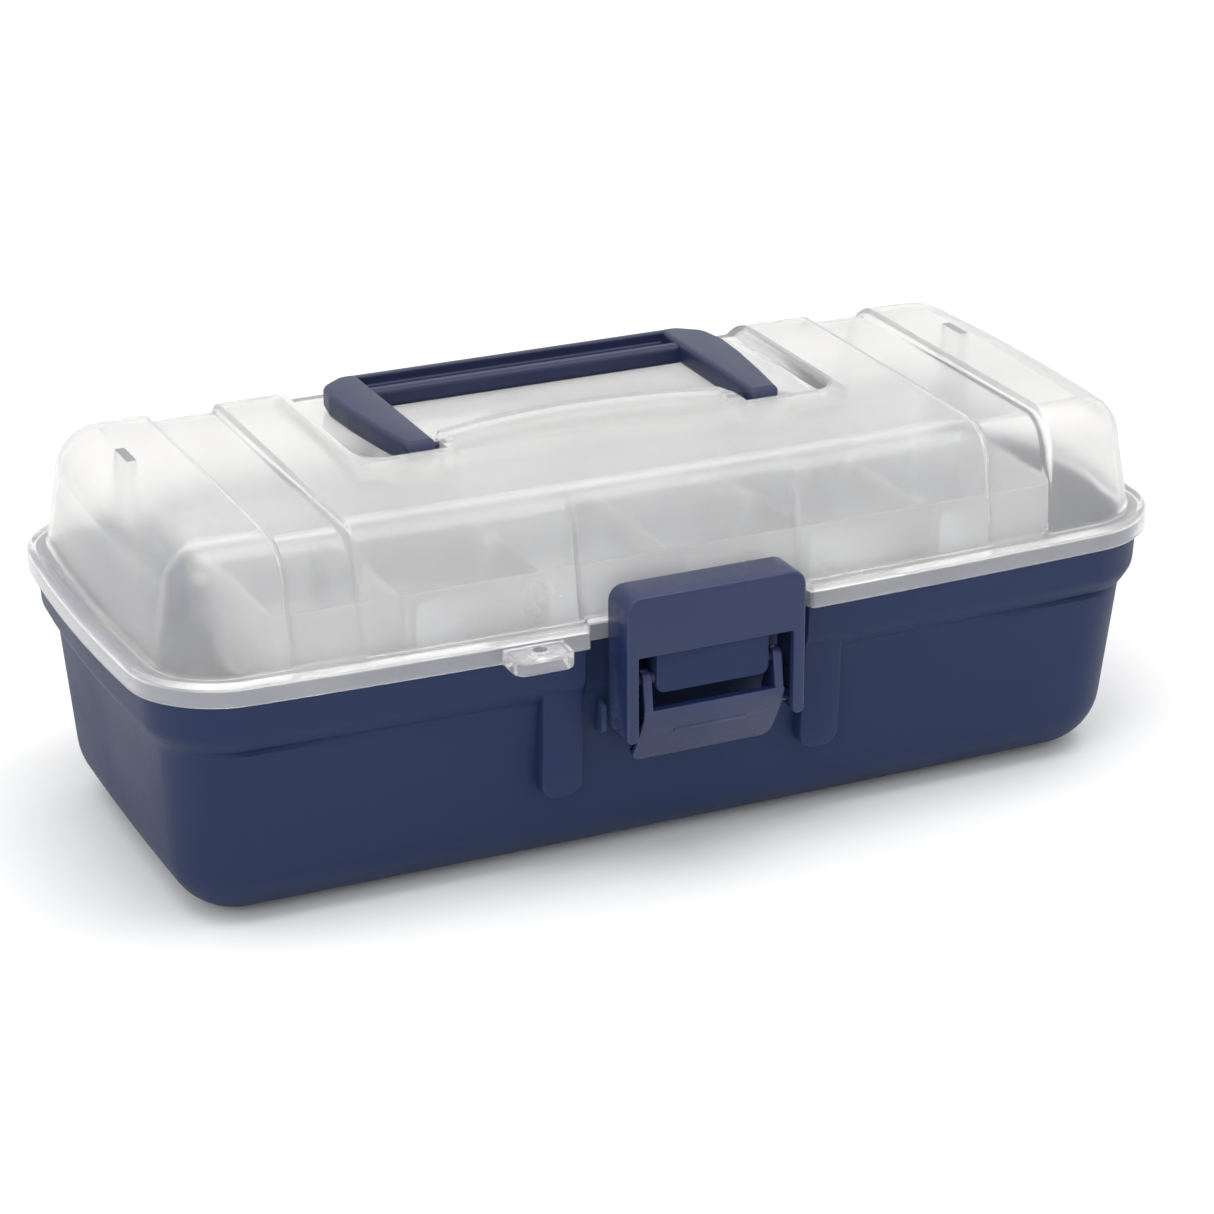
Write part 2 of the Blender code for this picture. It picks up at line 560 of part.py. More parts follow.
def build_hood(mat):
    # A cap with a window cut up from below, which leaves two legs with round ends.
    outside = [(-HOOD_HALF, HOOD_LOW), (-WINDOW_HALF, HOOD_LOW), (-WINDOW_HALF, WINDOW_TOP),
               (WINDOW_HALF, WINDOW_TOP), (WINDOW_HALF, HOOD_LOW), (HOOD_HALF, HOOD_LOW),
               (HOOD_HALF, HOOD_TOP), (-HOOD_HALF, HOOD_TOP)]
    outside = rounded(outside, [1.8, 1.8, 0.0, 0.0, 1.8, 1.8, 4.6, 4.6], 4)
    hood = bevel(prism("latch_hood", outside, "y", HOOD_FRONT, HOOD_BACK, mat), 0.8)
    ceiling = HOOD_TOP - 2.2
    inside = [(-HOOD_INSIDE, 40.0), (HOOD_INSIDE, 40.0), (HOOD_INSIDE, ceiling), (-HOOD_INSIDE, ceiling)]
    inside = rounded(inside, [0.0, 0.0, 2.8, 2.8], 4)
    cut(hood, prism("inside", inside, "y", HOOD_FRONT + 2.3, HOOD_BACK + 5.0))
    cut(hood, rod("bore", HOOD_Y, HOOD_Z, TRUNNION_R + RUN, -40.0, 40.0, count=24))
    tidy(hood)
    set_origin(hood, HOOD_Y, HOOD_Z)
    return hood


def build_tray(mat):
    def level(inset, z):
        corners = [(-TRAY_HALF + inset, TRAY_FRONT + inset), (TRAY_HALF - inset, TRAY_FRONT + inset),
                   (TRAY_HALF - inset, TRAY_BACK - inset), (-TRAY_HALF + inset, TRAY_BACK - inset)]
        return [(x, y, z) for x, y in rounded(corners, max(1.5, 6.0 - inset), 4)]

    outside = [level(3.0, TRAY_LOW), level(1.6, TRAY_LOW + 1.4), level(0.0, TRAY_HIGH)]
    inside = [level(TRAY_T, TRAY_HIGH), level(TRAY_T + 1.6, TRAY_LOW + 3.4), level(TRAY_T + 3.6, TRAY_LOW + TRAY_T)]
    tray = loft("tray", outside + inside, mat)
    foot = TRAY_LOW + 1.0
    for x in FIXED_X:
        join(tray, box("wall", (x - 0.8, TRAY_FRONT + 1.0, foot), (x + 0.8, TRAY_BACK - 1.0, TRAY_HIGH - 3.0)))
    join(tray, box("rail", (-TRAY_HALF + 1.2, -22.0, foot), (TRAY_HALF - 1.2, -20.4, TRAY_LOW + 14.0)))
    # Slots for the loose dividers.
    for x in DIVIDER_X:
        for y0, y1 in ((TRAY_FRONT + 1.2, TRAY_FRONT + 4.6), (TRAY_BACK - 4.6, TRAY_BACK - 1.2)):
            for dx in (-2.2, 1.0):
                join(tray, box("rib", (x + dx, y0, foot), (x + dx + 1.2, y1, TRAY_HIGH - 4.0)))
        cut(tray, box("gate", (x - 1.0, -24.0, TRAY_LOW + TRAY_T + 0.2), (x + 1.0, -18.0, TRAY_HIGH)))
    tidy(tray)
    set_origin(tray, *ARM_TRAY)
    return tray


def build_divider(name, x, mat):
    low = TRAY_LOW + TRAY_T + 0.5
    outline = rounded([(TRAY_FRONT + 5.0, low), (TRAY_BACK - 5.0, low), (TRAY_BACK - 2.6, TRAY_HIGH - 4.0),
                       (TRAY_FRONT + 10.0, TRAY_HIGH - 4.0), (TRAY_FRONT + 2.6, TRAY_HIGH - 12.0)],
                      [1.5, 1.5, 1.0, 8.0, 2.0], 4)
    divider = prism(name, outline, "x", x - 0.7, x + 0.7, mat)
    set_origin(divider, *ARM_TRAY, x)
    return divider


def build_bracket(name, side, mat):
    ty, tz = ARM_TRAY
    ly, lz = LID_LUG
    plate = circle(ty, tz, 7.0, 8, 180.0, 180.0)
    plate += rounded([(ty + 7.0, 76.0), (ly - 1.0, lz - 7.0)], 0.0)
    plate += circle(ly, lz, 7.0, 8, -90.0, 180.0)
    plate += [(ly - 6.0, lz + 7.0), (4.0, 92.0), (-8.0, 91.0), (-13.0, 89.0), (ty - 7.0, 84.0)]
    bracket = prism(name, plate, "x", side * BRACKET_X, side * (BRACKET_X + PLATE_T), mat)
    join(bracket, rod("hub", ty, tz, 6.6, side * (TRAY_HALF + 0.3), side * (BRACKET_X + 0.6), count=24))
    cut(bracket, rod("seat", ty, tz, RIVET_R + 0.03, side * 129.0, side * 140.0, count=24),
        rod("bore", ly, lz, RIVET_R + RUN, side * 129.0, side * 140.0, count=24))
    tidy(bracket)
    set_origin(bracket, ty, tz)
    return bracket


def build_arm(name, side, mat):
    (by, bz), (ty, tz) = ARM_BASE, ARM_TRAY
    lean = math.degrees(math.atan2(tz - bz, ty - by))
    outline = circle(by, bz, ARM_HALF, 8, lean + 90.0, 180.0)
    outline += circle(ty, tz, ARM_HALF, 8, lean - 90.0, 180.0)
    arm = prism(name, outline, "x", side * ARM_X, side * (ARM_X + PLATE_T), mat)
    for y, z in (ARM_BASE, ARM_TRAY):
        cut(arm, rod("bore", y, z, RIVET_R + RUN, side * 130.0, side * 145.0, count=24))
    tidy(arm)
    set_origin(arm, by, bz)
    return arm


def build_rivet(name, centre, heads, shaft, mat):
    """A rivet along X. heads are (low, high) spans of its heads, the shaft runs through them."""
    rivet = rod(name, *centre, RIVET_R, *shaft, mat, count=24)
    for low, high in heads:
        join(rivet, rod("head", *centre, RIVET_HEAD_R, low, high, count=24))
    tidy(rivet)
    set_origin(rivet, *centre)
    return rivet


def build_rivets(side, word, mat):
    arm_in, arm_out = side * ARM_X, side * (ARM_X + PLATE_T)
    plate_in = side * BRACKET_X
    build_rivet("rivet_base_" + word, ARM_BASE, [(arm_in - side * 0.3, arm_in - side * 2.0)],
                (arm_in - side * 1.0, side * 147.5), mat)
    build_rivet("rivet_tray_" + word, ARM_TRAY, [(arm_out + side * 0.3, arm_out + side * 2.0)],
                (side * 129.5, arm_out + side * 1.0), mat)
    lug_out = side * (ARM_X + 3.2)
    heads = [(lug_out + side * 0.3, lug_out + side * 2.0), (plate_in - side * 0.3, plate_in - side * 2.0)]
    build_rivet("rivet_lid_" + word, LID_LUG, heads, (plate_in - side * 1.0, lug_out + side * 1.0), mat)


def main():
    clear_scene()
    navy = material("navy_plastic", (0.032, 0.047, 0.115), 0.42)
    latch_navy = material("latch_plastic", (0.045, 0.06, 0.14), 0.38)
    frosted = material("frosted_plastic", (0.86, 0.87, 0.88), 0.35, 0.45)
    pale = material("tray_plastic", (0.82, 0.83, 0.84), 0.4, 0.8)
    steel = material("pin_steel", (0.5, 0.5, 0.52), 0.3)

    build_base(navy)
    build_lid(frosted)
    build_handle(latch_navy)
    build_lever(latch_navy)
    build_hood(latch_navy)
    build_tray(pale)
    rod("latch_pin", LEVER_Y, LEVER_Z, LATCH_PIN_R, -22.9, 22.9, latch_navy)
    for number, x in enumerate(DIVIDER_X, 1):
        build_divider("tray_divider_%d" % number, x, pale)
    reach = 1.5 * KNUCKLE_W + 0.6
    for side, word in ((-1, "left"), (1, "right")):
        x = side * HINGE_X
        rod("hinge_pin_" + word, HINGE_Y, HINGE_Z, HINGE_PIN_R, x - reach, x + reach, steel)
        build_bracket("bracket_" + word, side, navy)
        build_arm("arm_" + word, side, navy)
        build_rivets(side, word, navy)


main()
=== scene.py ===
"""Looks of the fishing tackle box: fine surfaces, materials, floor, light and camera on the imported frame."""

import math

import bmesh
import bpy
from mathutils import Matrix, Vector


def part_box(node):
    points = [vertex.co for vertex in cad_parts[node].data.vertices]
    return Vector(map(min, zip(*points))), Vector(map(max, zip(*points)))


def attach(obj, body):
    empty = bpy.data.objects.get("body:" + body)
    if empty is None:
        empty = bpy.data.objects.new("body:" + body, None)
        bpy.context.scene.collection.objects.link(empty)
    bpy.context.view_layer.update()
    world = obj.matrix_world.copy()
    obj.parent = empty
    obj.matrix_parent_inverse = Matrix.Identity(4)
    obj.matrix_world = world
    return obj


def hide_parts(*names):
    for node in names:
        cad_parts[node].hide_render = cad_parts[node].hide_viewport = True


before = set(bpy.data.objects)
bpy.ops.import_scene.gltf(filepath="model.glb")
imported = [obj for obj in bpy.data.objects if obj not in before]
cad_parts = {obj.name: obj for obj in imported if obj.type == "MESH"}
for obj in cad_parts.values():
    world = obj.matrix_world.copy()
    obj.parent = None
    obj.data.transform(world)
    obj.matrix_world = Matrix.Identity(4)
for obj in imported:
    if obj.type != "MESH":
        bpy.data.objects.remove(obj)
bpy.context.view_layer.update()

MM = 0.001
COLLECTION = bpy.context.scene.collection

# Sizes in millimetres. The length comes from the frame, the rest repeats the design.
LID_LOW, LID_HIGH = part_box("lid_shell")
LENGTH = (LID_HIGH.x - LID_LOW.x) / MM
DEPTH, CORNER = 154.6, 25.4
BOW_FRONT, BOW_END, LOW_BOW = 5.1, 4.3, 0.45  # bulge of front and ends, and its share on the tub

# Tub and lid, from the floor up.
FLOOR_T, FILLET = 2.6, 18.0
STEP_Z, SKIRT_Z, RIM_Z, LEDGE_Z = 57.0, 74.0, 78.5, 78.9
WALL_Z, WALL = 82.2, 2.0
SHOULDER_Z, SHOULDER_R = 102.1, 14.1
ROOF_Z = SHOULDER_Z + SHOULDER_R
LID_FOOT, LID_DRAFT = 6.6, 3.8  # inset of the lid's wall at its foot, and how much further in its top is

# Stepped bands of the lid, and the front panel behind the latch, as distances from the middle.
BAND_IN, BAND_OUT, BAND_DEPTH, BAND_FOOT = 102.0, 123.2, 2.2, 1.2
FRONT_HALF, PANEL_DEPTH, STEP_W = 35.5, 1.6, 1.3

# Handle, and the recess and hump of the lid around it.
RECESS_HALF, RECESS_Y, RECESS_Z = 77.8, -11.0, 110.7
HUMP_HALF, HUMP_TOP = 48.8, 117.5
HANDLE_X, HANDLE_Y, HANDLE_Z, HANDLE_PIN_R, FOOT_R = -3.0, -4.4, 114.0, 1.5, 5.7
HANDLE_LOW, HANDLE_HIGH, GRIP_FRONT, GRIP_BACK = 111.2, 118.4, 41.0, 56.2

# Hasp tab on the lid's front edge.
TAB_LEFT, TAB_RIGHT, TAB_FRONT, TAB_BACK, TAB_TOP = -62.4, -43.8, -87.0, -75.0, 78.6
HASP_X, HASP_Y, HASP_R, HASP_RING_R = -53.1, -81.6, 2.05, 3.7

# Rear hinge and latch.
HINGE_Y, HINGE_Z, KNUCKLE_R, HINGE_PIN_R, HINGE_X, KNUCKLE_W = 81.5, 73.0, 3.6, 1.5, 80.0, 12.0
LEVER_Y, LEVER_Z, HOOD_Y, HOOD_Z = -80.5, 63.6, -79.0, 50.0
LATCH_PIN_R, TRUNNION_R = 1.5, 2.0
HOOD_HALF, HOOD_BACK, HOOD_FRONT, HOOD_LOW, HOOD_TOP = 28.3, -72.4, -86.2, 46.3, 91.0
HOOD_INSIDE, WINDOW_HALF, WINDOW_TOP = 26.1, 24.5, 72.4
LEVER_HALF, CHEEK_IN, BLOCK_HALF = 22.3, 19.3, 17.9

# Bosses and lugs of the tray's linkage.
ARM_BASE, LID_LUG = (50.0, 50.0), (24.0, 88.0)
ARM_X, PLATE_T, RIVET_R, RUN = 136.6, 3.0, 2.5, 0.06

# Fineness of the surfaces.
ARC_STEPS, END_STEPS = 16, 8
PLAIN_HALF = 60.0  # columns this near the middle keep their place on every level
ROUND = 40  # sides of a fine round

# Light and camera, in metres, watts and degrees, with the lens in millimetres.
WORLD_LIGHT = 1.0
SOFTBOXES = (
    ("overhead", (0.0, -0.25, 1.3), (1.6, 0.7), 9.0),
    ("front_left", (-1.3, -1.1, 0.9), (0.9, 0.9), 6.0),
)
CAMERA_PLACE = Vector((-0.418933, -0.935524, 0.474603))
CAMERA_YAW, CAMERA_PITCH, CAMERA_ROLL = 24.349, 22.398, -0.339
CAMERA_LENS, CAMERA_SENSOR = 107.1, 36.0


# Mesh helpers.

def make(name, points, faces):
    mesh = bpy.data.meshes.new(name)
    mesh.from_pydata([(x * MM, y * MM, z * MM) for x, y, z in points], [], faces)
    work = bmesh.new()
    work.from_mesh(mesh)
    bmesh.ops.recalc_face_normals(work, faces=work.faces)
    work.to_mesh(mesh)
    work.free()
    obj = bpy.data.objects.new(name, mesh)
    COLLECTION.objects.link(obj)
    return obj


def skin(rings):
    """The points of rings of equal size, and the faces between each ring and the next."""
    count = len(rings[0])
    points = [p for level in rings for p in level]
    faces = []
    for a in range(0, (len(rings) - 1) * count, count):
        for i in range(count):
            j = (i + 1) % count
            faces.append((a + i, a + j, a + count + j, a + count + i))
    return points, faces


def loft(name, rings):
    """A closed body through rings of equal size, with its first and last ring capped."""
    points, faces = skin(rings)
    count = len(rings[0])
    faces.append(tuple(reversed(range(count))))
    faces.append(tuple(range(len(points) - count, len(points))))
    return make(name, points, faces)


PLACE = {
    "x": lambda p, t: (t, p[0], p[1]),
    "y": lambda p, t: (p[0], t, p[1]),
    "z": lambda p, t: (p[0], p[1], t),
}


def prism(name, outline, axis, low, high):
    """An outline in the two other axes (X, Y, Z order) carried along an axis."""
    return loft(name, [[PLACE[axis](p, t) for p in outline] for t in (low, high)])


def box(name, low, high):
    (x0, y0, z0), (x1, y1, z1) = low, high
    return prism(name, [(x0, y0), (x1, y0), (x1, y1), (x0, y1)], "z", z0, z1)


def circle(cy, cz, radius, count=ROUND, start=0.0, sweep=360.0):
    steps = count if sweep == 360.0 else count + 1
    return [(cy + radius * math.cos(math.radians(start + sweep * k / count)),
             cz + radius * math.sin(math.radians(start + sweep * k / count))) for k in range(steps)]


def rod(name, cy, cz, radius, low, high):
    return prism(name, circle(cy, cz, radius), "x", low, high)


def rounded(points, radii, steps=8):
    """A polygon with each corner replaced by an arc of its own radius."""
    out = []
    count = len(points)
    for i, (px, py) in enumerate(points):
        radius = radii[i] if isinstance(radii, (list, tuple)) else radii
        if radius <= 0.0:
            out.append((px, py))
            continue
        ax, ay = points[i - 1][0] - px, points[i - 1][1] - py
        bx, by = points[(i + 1) % count][0] - px, points[(i + 1) % count][1] - py
        la, lb = math.hypot(ax, ay), math.hypot(bx, by)
        ax, ay, bx, by = ax / la, ay / la, bx / lb, by / lb
        half = math.acos(max(-1.0, min(1.0, ax * bx + ay * by))) / 2.0
        cut_back = min(radius / math.tan(half), 0.49 * la, 0.49 * lb)
        radius = cut_back * math.tan(half)
        reach = radius / math.sin(half) / math.hypot(ax + bx, ay + by)
        cx, cy = px + (ax + bx) * reach, py + (ay + by) * reach
        start = math.atan2(py + ay * cut_back - cy, px + ax * cut_back - cx)
        end = math.atan2(py + by * cut_back - cy, px + bx * cut_back - cx)
        turn = (end - start + math.pi) % (2 * math.pi) - math.pi
        for k in range(steps + 1):
            a = start + turn * k / steps
            out.append((cx + radius * math.cos(a), cy + radius * math.sin(a)))
    return out


def applied(obj):
    """Puts the modifiers' result into the object's own mesh."""
    bpy.context.view_layer.update()
    mesh = bpy.data.meshes.new_from_object(obj.evaluated_get(bpy.context.evaluated_depsgraph_get()))
    obj.modifiers.clear()
    obj.data = mesh
    return obj


def boolean(target, other, operation):
    modifier = target.modifiers.new("boolean", "BOOLEAN")
    modifier.operation = operation
    modifier.solver = "EXACT"
    modifier.object = other
    applied(target)
    bpy.data.objects.remove(other, do_unlink=True)
    return target


def join(target, *others):
    for other in others:
        boolean(target, other, "UNION")
    return target


def cut(target, *others):
    for other in others:
        boolean(target, other, "DIFFERENCE")
    return target


def bevel(obj, width, segments=3, angle=40.0):
    modifier = obj.modifiers.new("edge", "BEVEL")
    modifier.width = width * MM
    modifier.segments = segments
    modifier.limit_method = "ANGLE"
    modifier.angle_limit = math.radians(angle)
    return applied(obj)


def finished(obj, mat, body, slot, *nodes, angle=30.0):
    """Cleans a finished piece, shades it, gives it its material, hangs it on the body it moves with, and hides
    the CAD nodes it stands for.
    """
    work = bmesh.new()
    work.from_mesh(obj.data)
    bmesh.ops.remove_doubles(work, verts=work.verts, dist=3e-6)
    bmesh.ops.dissolve_degenerate(work, dist=1e-6, edges=work.edges)
    bmesh.ops.recalc_face_normals(work, faces=work.faces)
    work.to_mesh(obj.data)
    work.free()
    obj.data.shade_smooth()
    obj.data.set_sharp_from_angle(angle=math.radians(angle))
    obj.data.materials.clear()
    obj.data.materials.append(mat)
    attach(obj, body)
    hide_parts(*nodes)
    return obj


# Bowed rounded rectangles, the plan of every level of the tub and the lid.

def smooth(value, low, high):
    t = max(0.0, min(1.0, (value - low) / (high - low)))
    return t * t * (3.0 - 2.0 * t)


def centre_weight(x):
    return 1.0 - smooth(abs(x), FRONT_HALF - STEP_W, FRONT_HALF + STEP_W)


def band_weight(x):
    return smooth(abs(x), BAND_IN - STEP_W, BAND_IN + STEP_W) * (
        1.0 - smooth(abs(x), BAND_OUT - STEP_W, BAND_OUT + STEP_W))


def bowed(x, y, z, bow=1.0):
    return (x * (1.0 - 2.0 * bow * BOW_END / LENGTH * (y / (DEPTH / 2)) ** 2),
            y * (1.0 - 2.0 * bow * BOW_FRONT / DEPTH * (x / (LENGTH / 2)) ** 2), z)


def ring(inset, z, columns, centre=0.0, band=0.0, tilt=0.0, radius=None, bow=1.0, inset_y=None):
    """One level, inset from the skirt's outline.

    centre moves the front's middle inward, and band sinks the bands, along a direction that tilt turns
    from straight inward, at 0 degrees, to straight down, at 90.
    """
    inset_y = inset if inset_y is None else inset_y
    radius_x = CORNER - inset if radius is None else radius
    radius_y = CORNER - inset_y if radius is None else radius
    half_x, half_y = LENGTH / 2 - inset - radius_x, DEPTH / 2 - inset_y - radius_y
    squeeze = (half_x - PLAIN_HALF) / (LENGTH / 2 - CORNER - PLAIN_HALF)
    columns = [x if abs(x) <= PLAIN_HALF
               else math.copysign(PLAIN_HALF + (abs(x) - PLAIN_HALF) * squeeze, x)
               for x in columns]
    lean, drop = math.cos(math.radians(tilt)), math.sin(math.radians(tilt))

    def side(sign, x):
        sunk = band * band_weight(x)
        pushed = centre * centre_weight(x) if sign < 0 else 0.0
        return bowed(x, sign * (half_y + radius_y - (sunk + pushed) * lean), z - sunk * drop, bow)

    def corner(sx, sy, start):
        turns = [math.radians(start + 90.0 * k / ARC_STEPS) for k in range(1, ARC_STEPS + 1)]
        return [bowed(sx * half_x + radius_x * math.cos(a), sy * half_y + radius_y * math.sin(a), z, bow)
                for a in turns]

    def end(sign):
        return [bowed(sign * (half_x + radius_x), sign * half_y * (2.0 * k / END_STEPS - 1.0), z, bow)
                for k in range(1, END_STEPS)]

    points = [side(-1, x) for x in columns]
    points += corner(1, -1, -90.0) + end(1) + [bowed(half_x + radius_x, half_y, z, bow)]
    points += corner(1, 1, 0.0)[:-1] + [side(1, x) for x in reversed(columns)]
    points += corner(-1, 1, 90.0) + end(-1) + [bowed(-half_x - radius_x, -half_y, z, bow)]
    return points + corner(-1, -1, 180.0)[:-1]


def fine_columns():
    """Places along the front: close together over each step, wide apart elsewhere."""
    half = {0.0, 9.0, 18.0, 27.0, 45.0, 53.0, 61.0, 70.0, 79.0, 88.0, 95.0, 108.0, 113.0, 118.0, 129.0, 134.0,
            LENGTH / 2 - CORNER}
    for middle in (FRONT_HALF, BAND_IN, BAND_OUT):
        half |= {round(middle + STEP_W * 1.15 * k / 4, 3) for k in range(-4, 5)}
    return sorted({-x for x in half} | half)


# The tub.

def base_level(z, columns, inward=0.0, centre=0.0):
    """One level of the tub's wall, which widens evenly from the floor to the step."""
    share = z / STEP_Z
    radius = max(18.6 + 2.4 * share - inward, 1.2)
    return ring(13.2 - 4.2 * share + inward, z, columns, centre=centre, radius=radius, bow=LOW_BOW,
                inset_y=16.0 - 7.7 * share + inward)


def base_fillet(low, radius, inward, columns, angles):
    """The round between the wall and the floor, one level for each angle."""
    return [base_level(low + radius * (1.0 - math.sin(math.radians(a))), columns,
                       inward + radius * (1.0 - math.cos(math.radians(a)))) for a in angles]


def front_rib(side):
    """An upright rib on the front wall, its face leaning with the wall, with a soft edge."""
    left, right, low, high = 35.2, 48.2, 26.0, 62.0
    corners = [(side * left, low), (side * right, low), (side * right, high), (side * left, high)]
    outline = rounded(corners, [5.0, 5.0, 0.0, 0.0])
    levels = []
    for grow, y in ((0.0, -64.0), (0.0, -69.2), (-0.3, -69.9), (-1.0, -70.2)):
        levels.append([(x + side * grow * (1 if abs(x) > (left + right) / 2 else -1),
                        y - 0.045 * (z - low), z - grow * (z < 40.0)) for x, z in outline])
    return loft("rib", levels)


def fine_base(mat):
    columns = fine_columns()
    angles = [90.0 - 7.5 * k for k in range(13)]
    rings = base_fillet(0.0, FILLET, 0.0, columns, angles)
    for z in (30.0, 42.0, STEP_Z - 3.0, STEP_Z - 0.8):
        rings.append(base_level(z, columns))
    # The step and the rim band, as inset, height and how far the front's middle is in.
    outside = [(7.6, 57.3, 0.9), (6.9, 57.8, 1.4), (6.2, 58.7, 2.1), (5.4, 59.9, 3.0), (4.8, 60.8, 3.6),
               (4.3, 61.6, 4.0), (3.9, 62.6, 4.3), (3.6, 64.0, 4.5), (3.0, SKIRT_Z - 1.0, 4.8),
               (2.2, SKIRT_Z + 1.5, 5.4), (2.2, RIM_Z, 5.4)]
    inside = [(4.4, RIM_Z, 5.4), (5.3, SKIRT_Z - 3.0, 4.8), (6.3, STEP_Z + 4.6, 3.9)]
    rings += [ring(inset, z, columns, centre=centre) for inset, z, centre in outside + inside]
    rings.append(base_level(STEP_Z + 0.6, columns, 2.2, 0.4))
    rings += base_fillet(FLOOR_T, FILLET - 2.4, 2.3, columns, angles[::-1])
    base = loft("base_fine", rings)
    extra, holes = [], []
    web = [(72.4, 66.5), (78.0, 68.6), (83.5, 70.2), (HINGE_Y + 2.0, HINGE_Z),
           (77.9, HINGE_Z), (72.4, 73.4)]
    for side in (-1, 1):
        extra.append(front_rib(side))
        ear = rounded([(-72.6, 45.5), (-66.0, 44.0), (-66.0, 55.5), (-72.6, 53.5)], 1.2)
        extra.append(prism("ear", ear, "x", *sorted((side * 28.8, side * 30.2))))
        extra.append(rod("boss", *ARM_BASE, 6.0, *sorted((side * 151.0, side * (ARM_X + PLATE_T + 0.3)))))
        holes.append(rod("hole", *ARM_BASE, RIVET_R + 0.03, *sorted((side * 130.0, side * 148.0))))
        for offset in (-KNUCKLE_W - 0.3, KNUCKLE_W + 0.3):
            low = side * HINGE_X + offset - KNUCKLE_W / 2
            extra += [prism("web", web, "x", low, low + KNUCKLE_W),
                      bevel(rod("knuckle", HINGE_Y, HINGE_Z, KNUCKLE_R, low, low + KNUCKLE_W), 0.3)]
        x = side * HINGE_X
        holes.append(rod("bore", HINGE_Y, HINGE_Z, HINGE_PIN_R + 0.03, x - 30.0, x + 30.0))
    block = [(-BLOCK_HALF, 59.5), (BLOCK_HALF, 59.5), (BLOCK_HALF, 73.6), (-BLOCK_HALF, 73.6)]
    block = rounded(block, [2.6, 2.6, 1.0, 1.0])
    extra.append(bevel(prism("block", block, "y", -83.4, -69.0), 0.5))
    holes.append(rod("hole", LEVER_Y, LEVER_Z, LATCH_PIN_R + 0.03, -30.0, 30.0))
    join(base, *extra)
    cut(base, *holes)
    return finished(base, mat, "base", "base_shell", "base_shell")


# The lid.

def roof_faces(points, faces, columns, start, depth, z):
    """Fills a flat roof over a ring: strips across it, and one face over each end."""
    count, rows = len(columns), 4
    total = 2 * count + 4 * ARC_STEPS + 2 * END_STEPS - 2
    back = [start + count + 2 * ARC_STEPS + END_STEPS - 1 + (count - 1 - i) for i in range(count)]
    grid = [[start + i for i in range(count)]]
    for row in range(1, rows):
        line = []
        for i in range(count):
            a, b = points[grid[0][i]], points[back[i]]
            share = row / rows
            x, y = a[0] + (b[0] - a[0]) * share, a[1] + (b[1] - a[1]) * share
            line.append(len(points))
            points.append((x, y, z - depth * band_weight(columns[i])))
        grid.append(line)
    grid.append(back)
    faces += [(grid[row][i], grid[row][i + 1], grid[row + 1][i + 1], grid[row + 1][i])
              for row in range(rows) for i in range(count - 1)]
    faces.append(tuple([start + count - 1 + k for k in range(back[-1] - start - count + 2)]
                       + [grid[row][-1] for row in range(rows - 1, 0, -1)]))
    faces.append(tuple([back[0] + k for k in range(start + total - back[0])] + [start]
                       + [grid[row][0] for row in range(1, rows)]))


def lid_body():
    """The lid's thin shell, from the inside of its roof down to the skirt and up again outside."""
    columns = fine_columns()
    foot = LID_FOOT

    def shoulder(steps, radius, thick, up):
        angles = [90.0 * k / steps for k in range(steps + 1)]
        found = []
        for angle in angles if up else angles[::-1]:
            a = math.radians(angle)
            found.append(ring(foot + LID_DRAFT + thick + radius * (1.0 - math.cos(a)),
                              SHOULDER_Z + radius * math.sin(a), columns,
                              centre=PANEL_DEPTH * math.cos(a), band=BAND_DEPTH, tilt=angle))
        return found

    def wall(z, thick):
        share = (z - WALL_Z) / (SHOULDER_Z - WALL_Z)
        return ring(foot + thick + LID_DRAFT * share, z, columns, centre=PANEL_DEPTH,
                    band=BAND_FOOT + (BAND_DEPTH - BAND_FOOT) * share)

    # Levels as inset, height, how far the front's middle is in, and how far the bands are in.
    inside = [(foot + WALL, 80.4, PANEL_DEPTH, BAND_FOOT), (foot + WALL - 0.3, 79.4, 1.7, 1.0),
              (foot + 1.0, LEDGE_Z, 2.0, 0.6), (2.6, LEDGE_Z, 5.2, 0.0), (1.9, RIM_Z, 5.4, 0.0)]
    skirt = [(1.8, SKIRT_Z + 0.5, 5.4, 0.0), (1.5, SKIRT_Z + 0.1, 5.5, 0.0), (1.0, SKIRT_Z, 5.6, 0.0),
             (0.4, SKIRT_Z + 0.1, 5.7, 0.0), (0.0, SKIRT_Z + 0.6, 5.7, 0.0), (0.0, 79.3, 5.7, 0.0)]
    rim = [(0.15, 80.1, 5.7, 0.0), (0.6, 80.8, 5.6, 0.0), (1.2, 81.2, 5.5, 0.0), (1.9, 81.3, 5.3, 0.0),
           (2.7, 81.15, 4.9, 0.0), (foot - 2.6, 80.9, 3.4, 0.4), (foot - 1.3, 81.0, 2.4, 0.9),
           (foot - 0.5, 81.4, 1.9, 1.1), (foot - 0.1, 82.3, 1.65, 1.2)]
    rings = shoulder(10, SHOULDER_R - WALL, WALL, False)
    rings.append(wall(92.0, WALL))
    for inset, z, centre, band in inside + skirt + rim:
        rings.append(ring(inset, z, columns, centre=centre, band=band))
    rings += [wall(z, 0.0) for z in (84.0, 90.0, 96.0)]
    rings += shoulder(14, SHOULDER_R, 0.0, True)
    points, faces = skin(rings)
    last = len(points) - len(rings[0])
    roof_faces(points, faces, columns, 0, BAND_DEPTH, ROOF_Z - WALL)
    roof_faces(points, faces, columns, last, BAND_DEPTH, ROOF_Z)
    return make("lid_fine", points, faces)


def beside_handle(points):
    """Carries an outline drawn about the handle's middle to its place on the lid."""
    return [(x + HANDLE_X, y) for x, y in points]


